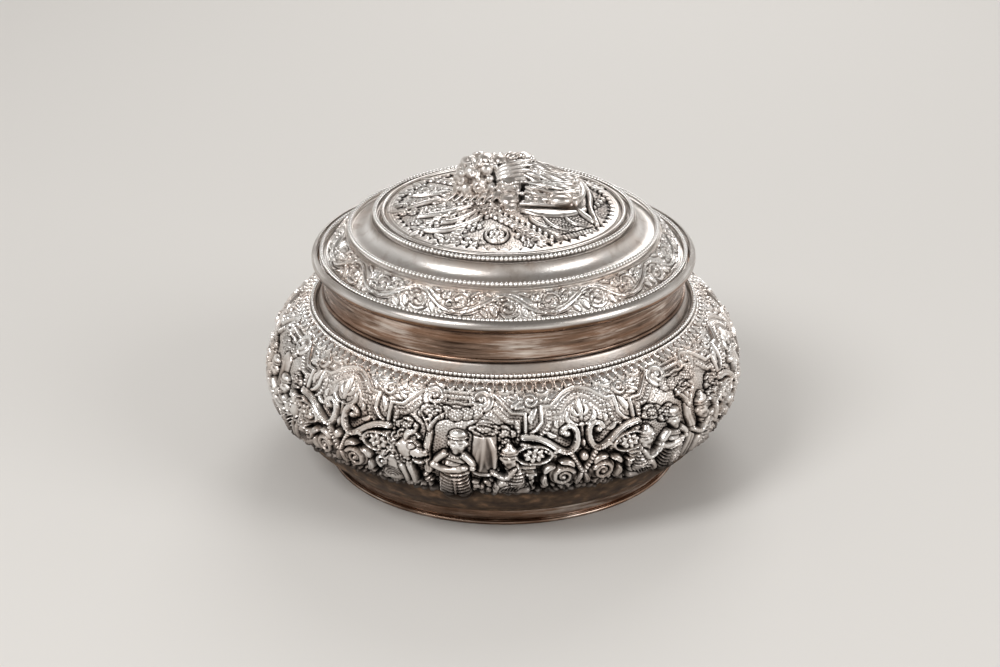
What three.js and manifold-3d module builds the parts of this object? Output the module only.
// A round lidded silver box in high repousse relief: a squat bowl on a plain foot, with an upright neck,
// and a stepped lid whose collar slips down over that neck.
// Millimetres, +Z up. The origin is the centre of the foot's lower edge, where the box stands.
import * as THREE from "three";
import { mergeVertices } from "three/addons/utils/BufferGeometryUtils.js";
import Module from "manifold-3d";

// Driving dimensions

const TURN_STEPS = 60; // facets round the axis
const SHEET = 1.2; // thickness of the raised and hammered sheet
const STRIP = 1.0; // thickness of the soldered bands and of the lid's cover
const JOIN_GAP = 0.3; // room left for solder
const RUNNING_GAP = 0.3; // between the lid's collar and the neck it slides on

const FOOT_RADIUS = 45.5; // outside of the foot band
const FOOT_HEIGHT = 4.8; // from the table to the underside of the bowl
const FOOT_WIRE = 1.1; // height of the wire along the foot's lower edge

const BELLY_RADIUS = 62.3; // over the relief, at the widest
const BELLY_HEIGHT = 24.5; // height of the widest ring
const LOWER_CENTRE = 35.4; // radius about which the lower curve of the bowl swings
const FOOT_INSET = 1.9; // the foot stands this far in from where that curve meets the flat bottom
const UPPER_CENTRE = 44.5; // radius about which the upper curve swings
const SHOULDER_HEIGHT = 42.4; // where the frieze ends at the shoulder beading
const SHOULDER_STEP = 0.9; // the beading lies this much lower than the frieze's upper edge
const LEDGE_RUN = 1.3; // the plain ledge between the beading and the lid's collar
const LEDGE_RISE = 3.1;

const NECK_RADIUS = 45.1; // outside of the upright neck that the lid slips over
const NECK_HEIGHT = 10.4;
const NECK_DEPTH = 3.0; // how far the neck reaches down inside the mouth
const NECK_WIRE = 0.9; // height of the wire round the neck's upper edge

const COLLAR_HEIGHT = 8.7;
const COLLAR_WAIST = 0.25; // the collar is drawn in by this much at half its height
const EDGE_WIRE = 0.5; // proud lip along the collar's lower edge
const EDGE_WIRE_HEIGHT = 0.9;

const NOSE_REACH = 2.75; // how far the rounded rim moulding stands out from the collar
const NOSE_HEIGHT = 3.9;
const BAND_RISE = 6.25; // the scroll band climbs this far to the cove
const BAND_BULGE = 0.5;
const BAND_INNER_RADIUS = 40.1;
const COVE_RISE = 3.9; // the plain cove between the scroll band and the medallion
const COVE_MARGIN = 2.0; // the cove's inner edge lies this far outside the medallion

const MEDALLION_RADIUS = 31.6;
const MEDALLION_BULGE = 3.0;
const MEDALLION_LEDGE = 2.4; // the cover reaches this far in under the medallion's edge

const PANELS = 6; // equal panels of the frieze round the bowl
const PANEL_STEPS = 24; // facets of the relief round one panel
const FIRST_CARTOUCHE = 18.5; // degrees from the front to the middle of the first cartouche
const GROUND_DEPTH = 2.5; // of the frieze's ground inside the wall's outer curve, behind the figures
const CHASED_RISE = 0.7; // of the medallion's relief over its ground

const BEAD_SIZE = 1.3; // diameter of the beaded wires
const PLAIN_WIRE_SIZE = 0.9;
const SEAT_WIDTH = 1.8; // flat left for each beaded wire

const FIGURE_SPREAD = 22.0; // how far the group of figures reaches from the axis
const FIGURE_HEIGHT = 9.6; // how far the tallest figure stands above the medallion's crown

// Materials

const silver = (color, roughness) => new THREE.MeshStandardMaterial({ color, roughness, metalness: 1 });
const chasedSilver = silver(0xc9c4bf, 0.34);
const polishedSilver = silver(0xd6d2cc, 0.2);
const tarnishedSilver = silver(0xa9866a, 0.3);
const beadedSilver = silver(0xd9d5d0, 0.26);

// Shapes

const wasm = await Module();
wasm.setup();

const box = new THREE.Group();
const body = new THREE.Group();
const lid = new THREE.Group();
box.add(body, lid);

function addMesh(parent, name, geometry, material) {
  const mesh = new THREE.Mesh(geometry, material);
  mesh.name = name;
  parent.add(mesh);
}

const signedArea = (outline) =>
  outline.reduce((sum, [r, z], i) => {
    const [nextR, nextZ] = outline[(i + 1) % outline.length];
    return sum + (r * nextZ - nextR * z) / 2;
  }, 0);

// A closed outline's points in the order that makes the turned faces point out.
function inOrder(outline) {
  const points = signedArea(outline) > 0 ? [...outline] : [...outline].reverse();
  const before = (i) => points[(i + points.length - 1) % points.length];
  const axisStart = points.findIndex(([r], i) => r === 0 && before(i)[0] === 0);
  const start = Math.max(axisStart, 0);
  const ring = [...points.slice(start), ...points.slice(0, start)];
  if (axisStart < 0) ring.push(points[0]);
  return ring;
}

// Turns a closed outline of [radius, height] points about Z, with its faces pointing out.
function turned(outline, steps = TURN_STEPS) {
  const profile = inOrder(outline).map(([r, z]) => new THREE.Vector2(r, z));
  return new THREE.LatheGeometry(profile, steps).rotateX(Math.PI / 2);
}

// Turns an outline that changes on its way round: it is given as a function of the angle in degrees from
// the front, and has the same number of points everywhere.
function turnedRelief(outlineAt, steps) {
  const geometry = turned(outlineAt(0), steps);
  for (let column = 0; column <= steps; column += 1) {
    const angle = (360 * (column % steps)) / steps;
    const ring = inOrder(outlineAt(angle));
    const radians = THREE.MathUtils.degToRad(angle);
    ring.forEach(([r, z], row) => {
      const [x, y] = [r * Math.sin(radians), -r * Math.cos(radians)];
      geometry.attributes.position.setXYZ(column * ring.length + row, x, y, z);
    });
  }
  geometry.computeVertexNormals();
  return geometry;
}

// A form raised in relief: its height from 0 to 1, its half-width, and a path of [x, y] points.
const form = (height, half, ...path) => ({ height, half, path });

// How high such forms stand at a place: each is flat along its path and falls off round it.
function raised(x, y, forms) {
  const place = new THREE.Vector3(x, y, 0);
  const nearest = new THREE.Vector3();
  let highest = 0;
  for (const { height, half, path } of forms) {
    const ends = path.map(([endX, endY]) => new THREE.Vector3(endX, endY, 0));
    ends.forEach((end, i) => {
      new THREE.Line3(ends[Math.max(i - 1, 0)], end).closestPointToPoint(place, true, nearest);
      const fall = THREE.MathUtils.smoothstep(place.distanceTo(nearest), half * 0.3, half * 1.3);
      highest = Math.max(highest, height * (1 - fall));
    });
  }
  return highest;
}

// Points on an ellipse about a centre, between two angles in degrees above the horizontal.
function arc([centreR, centreZ], reachR, reachZ, from, to, steps) {
  return Array.from({ length: steps + 1 }, (_, i) => {
    const angle = THREE.MathUtils.degToRad(from + ((to - from) * i) / steps);
    return [centreR + reachR * Math.cos(angle), centreZ + reachZ * Math.sin(angle)];
  });
}

// A six-sided wire ring that lies on a flat seat.
function seatedWire(radius, seat, size) {
  const centre = [radius, seat + JOIN_GAP + size / 2];
  return turned(arc(centre, size / 2, size / 2, 0, 300, 5));
}

function asSolid(geometry) {
  const bare = geometry.clone();
  bare.deleteAttribute("normal");
  bare.deleteAttribute("uv");
  const merged = mergeVertices(bare, 1e-3);
  const vertProperties = merged.attributes.position.array;
  const triVerts = new Uint32Array(merged.index.array);
  return new wasm.Manifold(new wasm.Mesh({ numProp: 3, vertProperties, triVerts }));
}

function asGeometry(solid) {
  const { vertProperties, triVerts } = solid.getMesh();
  const geometry = new THREE.BufferGeometry();
  geometry.setAttribute("position", new THREE.BufferAttribute(new Float32Array(vertProperties), 3));
  geometry.setIndex(new THREE.BufferAttribute(new Uint32Array(triVerts), 1));
  return geometry;
}

// The bowl: one raised sheet with a flat bottom, a swelling wall, a beading seat and a sloping ledge

const mouthRadius = NECK_RADIUS + JOIN_GAP;
const collarInner = NECK_RADIUS + RUNNING_GAP;
const collarOuter = collarInner + STRIP;
const seatOuter = collarOuter + EDGE_WIRE;
const shoulderRadius = seatOuter + LEDGE_RUN + SEAT_WIDTH;
const shoulderSeat = SHOULDER_HEIGHT - SHOULDER_STEP;
const seatHeight = shoulderSeat + LEDGE_RISE; // flat ring that the lid's collar comes down on

// The ellipse about a centre at belly height that passes the belly and ends at a given radius and height:
// its two reaches, and the angle of that end.
function wallEllipse(centreRadius, endRadius, endHeight) {
  const reachR = BELLY_RADIUS - centreRadius;
  const cosine = (endRadius - centreRadius) / reachR;
  const reachZ = Math.abs(endHeight - BELLY_HEIGHT) / Math.sqrt(1 - cosine ** 2);
  const angle = THREE.MathUtils.radToDeg(Math.acos(cosine));
  return { centre: [centreRadius, BELLY_HEIGHT], reachR, reachZ, angle };
}

const lower = wallEllipse(LOWER_CENTRE, FOOT_RADIUS + FOOT_INSET, FOOT_HEIGHT);
const upper = wallEllipse(UPPER_CENTRE, shoulderRadius, SHOULDER_HEIGHT);

// Places along the wall's outer curve from foot to shoulder: each has its point, the way straight in from
// there and its share of the way up the wall.
function wallPlaces(lowerSteps, upperSteps) {
  const curve = ({ centre, reachR, reachZ }, from, to, steps) => {
    const inward = arc([0, 0], -1 / reachR, -1 / reachZ, from, to, steps);
    return arc(centre, reachR, reachZ, from, to, steps).map((point, i) => {
      const length = Math.hypot(...inward[i]);
      return { point, inward: inward[i].map((part) => part / length) };
    });
  };
  const lowerPlaces = curve(lower, -lower.angle, 0, lowerSteps);
  const places = [...lowerPlaces, ...curve(upper, 0, upper.angle, upperSteps).slice(1)];
  const lengths = [0];
  places.slice(1).forEach(({ point: [r, z] }, i) => {
    const [lastR, lastZ] = places[i].point;
    lengths.push(lengths[i] + Math.hypot(r - lastR, z - lastZ));
  });
  return places.map((place, i) => ({ ...place, share: lengths[i] / lengths.at(-1) }));
}

// The main forms of half a panel laid out flat: straps, volutes and flowers between the middle line of a
// cartouche, where x is 0, and that of a niche. They are the same in every panel.
const halfPanel = 32.6;
const panelHeight = 49.8;
const friezeForms = [
  form(0.45, 8, [0, 31], [0, 42]), // the cartouche's field
  form(1, 3, [0, 45.6], [4, 44.5], [8.4, 41], [10.8, 37.8], [14.4, 33.8], [9.2, 31.2]), // its arch
  form(1, 3.8, [4.6, 31]), // great volute
  form(1, 3, [24.2, 45.2], [19.7, 41.7], [15.4, 38.2], [14.4, 33.8]), // strap of the niche
  form(1, 3.6, [26.6, 42.6]),
  form(1, 3.6, [12.8, 25.5], [12.8, 28]), // oval flower
  form(0.9, 4, [5.4, 21.4]), // spiral rosette
  form(0.8, 3, [13.8, 19.6]), // banded stand
  form(1, 3.2, [halfPanel, 31.4]), // head and dress of the standing figure
  form(0.9, 4, [halfPanel, 25], [halfPanel, 20]),
  form(1, 3.4, [19.8, 22], [19.8, 28]), // the figure that kneels beside it
  form(0.8, 3.4, [26, 31.6]), // beast and drapery
  form(0.8, 3.4, [25.6, 20.6]),
];

// The ground's share of its full depth, at heights on the laid out panel.
const groundFall = [
  [0, 0],
  [5, 0.35],
  [15, 0.85],
  [20, 1],
  [32, 0.95],
  [38, 0.55],
  [46, 0.4],
  [panelHeight, 0],
];

function groundShare(y) {
  const next = Math.max(1, groundFall.findIndex(([place]) => place >= y));
  const [[fromPlace, from], [toPlace, to]] = groundFall.slice(next - 1, next + 1);
  return THREE.MathUtils.mapLinear(y, fromPlace, toPlace, from, to);
}

// The wall at an angle in degrees from the front. It is hammered from a sheet, so its inner face follows
// the outer one at the sheet's thickness.
function wallAt(angle, thickness, lowerSteps, upperSteps) {
  const panel = 360 / PANELS;
  const turn = THREE.MathUtils.euclideanModulo(angle - FIRST_CARTOUCHE + panel / 2, panel) - panel / 2;
  const x = (halfPanel * Math.abs(turn)) / (panel / 2);
  return wallPlaces(lowerSteps, upperSteps).map(({ point: [r, z], inward: [inR, inZ], share }) => {
    const y = panelHeight * share;
    const depth = thickness + GROUND_DEPTH * groundShare(y) * (1 - raised(x, y, friezeForms));
    return [r + inR * depth, z + inZ * depth];
  });
}

function bowlOutline(angle) {
  return [
    [0, FOOT_HEIGHT],
    ...wallAt(angle, 0, 9, 10),
    [shoulderRadius, shoulderSeat],
    [shoulderRadius - SEAT_WIDTH, shoulderSeat],
    [seatOuter, seatHeight],
    [mouthRadius, seatHeight],
    [mouthRadius, seatHeight - SHEET],
    ...wallAt(angle, SHEET, 4, 4).reverse(),
    [0, FOOT_HEIGHT + SHEET],
  ];
}

addMesh(body, "bowl", turnedRelief(bowlOutline, PANELS * PANEL_STEPS), chasedSilver);

const shoulderBeadRadius = shoulderRadius - SEAT_WIDTH / 2;
addMesh(body, "shoulder_beading", seatedWire(shoulderBeadRadius, shoulderSeat, BEAD_SIZE), beadedSilver);

// The foot: a plain band under the bowl, stiffened by a half-round wire along its lower edge

const footInner = FOOT_RADIUS - STRIP;
addMesh(
  body,
  "foot_band",
  turned([
    [FOOT_RADIUS, FOOT_WIRE],
    [FOOT_RADIUS, FOOT_HEIGHT],
    [footInner, FOOT_HEIGHT],
    [footInner, FOOT_WIRE],
  ]),
  tarnishedSilver,
);

const footWireReach = FOOT_WIRE / 2;
addMesh(
  body,
  "foot_wire",
  turned([
    [footInner, 0],
    [FOOT_RADIUS, 0],
    ...arc([FOOT_RADIUS, footWireReach], footWireReach, footWireReach, -45, 45, 2),
    [FOOT_RADIUS, FOOT_WIRE],
    [footInner, FOOT_WIRE],
  ]),
  tarnishedSilver,
);

// The neck: an upright band soldered into the mouth, with a wire round its upper edge

const neckInner = NECK_RADIUS - STRIP;
const neckBottom = seatHeight - SHEET - NECK_DEPTH;
const neckTop = neckBottom + NECK_HEIGHT;
addMesh(
  body,
  "neck_band",
  turned([
    [NECK_RADIUS, neckBottom],
    [NECK_RADIUS, neckTop],
    [neckInner, neckTop],
    [neckInner, neckBottom],
  ]),
  polishedSilver,
);

addMesh(
  body,
  "neck_wire",
  turned([
    [neckInner, neckTop],
    [NECK_RADIUS, neckTop],
    [NECK_RADIUS, neckTop + NECK_WIRE / 2],
    [NECK_RADIUS - STRIP / 2, neckTop + NECK_WIRE],
    [neckInner, neckTop + NECK_WIRE / 2],
  ]),
  polishedSilver,
);

// The lid's collar, its edge wire and the rounded rim moulding above it

const collarBottom = seatHeight + JOIN_GAP;
const collarTop = collarBottom + COLLAR_HEIGHT;
const waistHeight = (collarBottom + collarTop) / 2;
const edgeWireTop = collarBottom + EDGE_WIRE_HEIGHT;
addMesh(
  lid,
  "lid_collar",
  turned([
    [collarOuter, collarBottom],
    [collarOuter, edgeWireTop],
    [collarOuter - COLLAR_WAIST, waistHeight],
    [collarOuter, collarTop],
    [collarInner, collarTop],
    [collarInner, collarBottom],
  ]),
  tarnishedSilver,
);

addMesh(
  lid,
  "collar_wire",
  turned([
    [collarOuter, collarBottom],
    [seatOuter, collarBottom + EDGE_WIRE_HEIGHT / 3],
    [seatOuter, collarBottom + (EDGE_WIRE_HEIGHT * 2) / 3],
    [collarOuter, edgeWireTop],
  ]),
  tarnishedSilver,
);

const coverUnder = collarTop + JOIN_GAP;
const bandSeat = coverUnder + STRIP;
const noseInner = collarOuter + JOIN_GAP;
const noseMiddle = bandSeat - JOIN_GAP;
const bandSeatOuter = noseInner + STRIP / 2;
const noseWall = bandSeatOuter + JOIN_GAP;
const noseReachR = collarOuter + NOSE_REACH - noseInner;
addMesh(
  lid,
  "rim_moulding",
  turned([
    ...arc([noseInner, noseMiddle], noseReachR, NOSE_HEIGHT / 2, -90, 62, 7),
    [noseWall, bandSeat],
    [noseWall, collarTop],
    [noseInner, collarTop],
  ]),
  polishedSilver,
);

// The lid's cover: one raised sheet with the scroll band, the cove and a ledge under the medallion

const bandOuterRadius = bandSeatOuter - SEAT_WIDTH;
const coveSeat = bandSeat + BAND_RISE;
const coveTop = coveSeat + COVE_RISE;
const coveInner = MEDALLION_RADIUS + COVE_MARGIN;
const ledgeInner = MEDALLION_RADIUS - MEDALLION_LEDGE;
const medallionSeat = coveTop - JOIN_GAP;
const medallionWall = MEDALLION_RADIUS + JOIN_GAP;

// The cover's sloping stretch, or its under side when it is moved down and in by the sheet's thickness.
function coverCurve(thickness) {
  const inwards = thickness * 0.6;
  const steps = 4;
  const band = Array.from({ length: steps + 1 }, (_, i) => {
    const share = i / steps;
    const bulge = BAND_BULGE * 4 * share * (1 - share);
    const radius = THREE.MathUtils.lerp(bandOuterRadius, BAND_INNER_RADIUS, share) + bulge;
    return [radius - inwards, bandSeat + BAND_RISE * share + bulge - thickness];
  });
  const coveCentre = [BAND_INNER_RADIUS - SEAT_WIDTH - inwards, coveTop - thickness];
  const coveReach = BAND_INNER_RADIUS - SEAT_WIDTH - coveInner;
  return [...band, ...arc(coveCentre, coveReach, COVE_RISE, 270, 180, 4)];
}

addMesh(
  lid,
  "lid_cover",
  turned([
    [bandSeatOuter, coverUnder],
    [bandSeatOuter, bandSeat],
    ...coverCurve(0),
    [medallionWall, coveTop],
    [medallionWall, medallionSeat - JOIN_GAP],
    [ledgeInner, medallionSeat - JOIN_GAP],
    [ledgeInner, medallionSeat - JOIN_GAP - STRIP],
    ...coverCurve(STRIP).reverse(),
  ]),
  chasedSilver,
);

const bandBeadRadius = bandSeatOuter - BEAD_SIZE / 2;
const coveBeadRadius = BAND_INNER_RADIUS - SEAT_WIDTH / 2;
const medallionBeadRadius = (coveInner + medallionWall) / 2;
addMesh(lid, "band_beading", seatedWire(bandBeadRadius, bandSeat, BEAD_SIZE), beadedSilver);
addMesh(lid, "cove_beading", seatedWire(coveBeadRadius, coveSeat, BEAD_SIZE), beadedSilver);
addMesh(lid, "medallion_beading", seatedWire(medallionBeadRadius, coveTop, BEAD_SIZE), beadedSilver);

// The medallion: a low domed disc that drops into the cover's ledge

const plainWireRadius = MEDALLION_RADIUS - PLAIN_WIRE_SIZE;
const domeHeight = (radius, lift) =>
  medallionSeat + lift + MEDALLION_BULGE * (1 - (radius / MEDALLION_RADIUS) ** 2);

function domeCurve(lift, steps = 6) {
  return Array.from({ length: steps + 1 }, (_, i) => {
    const radius = MEDALLION_RADIUS * (1 - i / steps);
    return [radius, domeHeight(radius, lift)];
  });
}

// The forms of the group of figures that stands on it. Each has its place across and back, its half-widths
// across and back, then its height, as shares of the spread and of the figures' height.
const figureForms = [
  [-0.3, 0.34, 0.29, 0.33, 0.95],
  [-0.45, 0.12, 0.17, 0.2, 0.5],
  [0.12, 0.36, 0.3, 0.33, 1.0],
  [0.05, -0.02, 0.16, 0.3, 0.6],
  [0.47, 0.27, 0.3, 0.31, 0.76],
  [0.72, 0.14, 0.22, 0.3, 0.45],
  [0.5, -0.1, 0.38, 0.2, 0.26],
];

// Its main forms in low relief, in millimetres across and back from the axis
const medallionForms = [
  form(1, 2.2, [0, -5], [5.5, -14], [12, -22]), // leaf-edged strap
  form(1, 2.2, [20, 20], [22.5, 8], [22.5, -3], [20.5, -13]), // ridge of the cloth at the right
  form(0.8, 4, [8, -8], [16, -14]),
  form(0.9, 2.8, [-1.5, -21.5], [-1.5, -18.5]), // oval flower
  form(0.9, 2.2, [-22, -15], [-14, -17], [-9, -16], [-6, -10]), // ribbon
  form(0.8, 2.3, [-11, -3], [-25, -9]), // foliage
  form(0.8, 2.3, [-11, 3], [-27, 0]),
  form(0.8, 2.3, [-12, 10], [-24, 12]),
  form(0.8, 2.3, [-9, -10], [-18, -10]),
];

// 1 where the group of figures stands on the medallion, and 0 well clear of it.
function underGroup(x, y) {
  const reaches = figureForms.map(([across, back, halfAcross, halfBack]) =>
    Math.hypot((x / FIGURE_SPREAD - across) / halfAcross, (y / FIGURE_SPREAD - back) / halfBack),
  );
  return 1 - THREE.MathUtils.smoothstep(Math.min(...reaches), 1.2, 1.6);
}

// The medallion's upper face keeps its full height along the rim, which carries the plain wire, and under
// the group.
function medallionOutline(angle) {
  const radians = THREE.MathUtils.degToRad(angle);
  const upper = domeCurve(SHEET, 12).map(([r, z]) => {
    const place = [r * Math.sin(radians), -r * Math.cos(radians)];
    const field = THREE.MathUtils.smoothstep(plainWireRadius - r, PLAIN_WIRE_SIZE, PLAIN_WIRE_SIZE * 3);
    const ground = 1 - Math.max(raised(...place, medallionForms), underGroup(...place));
    return [r, z - CHASED_RISE * field * ground];
  });
  return [...upper, ...domeCurve(0, 5).reverse()];
}

addMesh(lid, "lid_medallion", turnedRelief(medallionOutline, TURN_STEPS), chasedSilver);

const plainWireSeat = domeHeight(plainWireRadius - PLAIN_WIRE_SIZE / 2, SHEET);
addMesh(lid, "medallion_wire", seatedWire(plainWireRadius, plainWireSeat, PLAIN_WIRE_SIZE), beadedSilver);

// The group of figures in the highest relief, soldered on over the medallion's crown

const crown = domeHeight(0, SHEET);

function figureForm([across, back, halfAcross, halfBack, height]) {
  const x = across * FIGURE_SPREAD;
  const y = back * FIGURE_SPREAD;
  const base = domeHeight(Math.hypot(x, y), SHEET);
  const reach = crown + height * FIGURE_HEIGHT - base;
  const form = new THREE.SphereGeometry(1, 18, 10).rotateX(Math.PI / 2);
  form.scale(halfAcross * FIGURE_SPREAD, halfBack * FIGURE_SPREAD, reach).translate(x, y, base);
  return asSolid(form);
}

const underMedallion = asSolid(turned([[0, 0], [MEDALLION_RADIUS, 0], ...domeCurve(SHEET + JOIN_GAP)]));
const figureGroup = figureForms.map(figureForm).reduce((group, form) => group.add(form));
addMesh(lid, "lid_figures", asGeometry(figureGroup.subtract(underMedallion)), chasedSilver);

export default box;
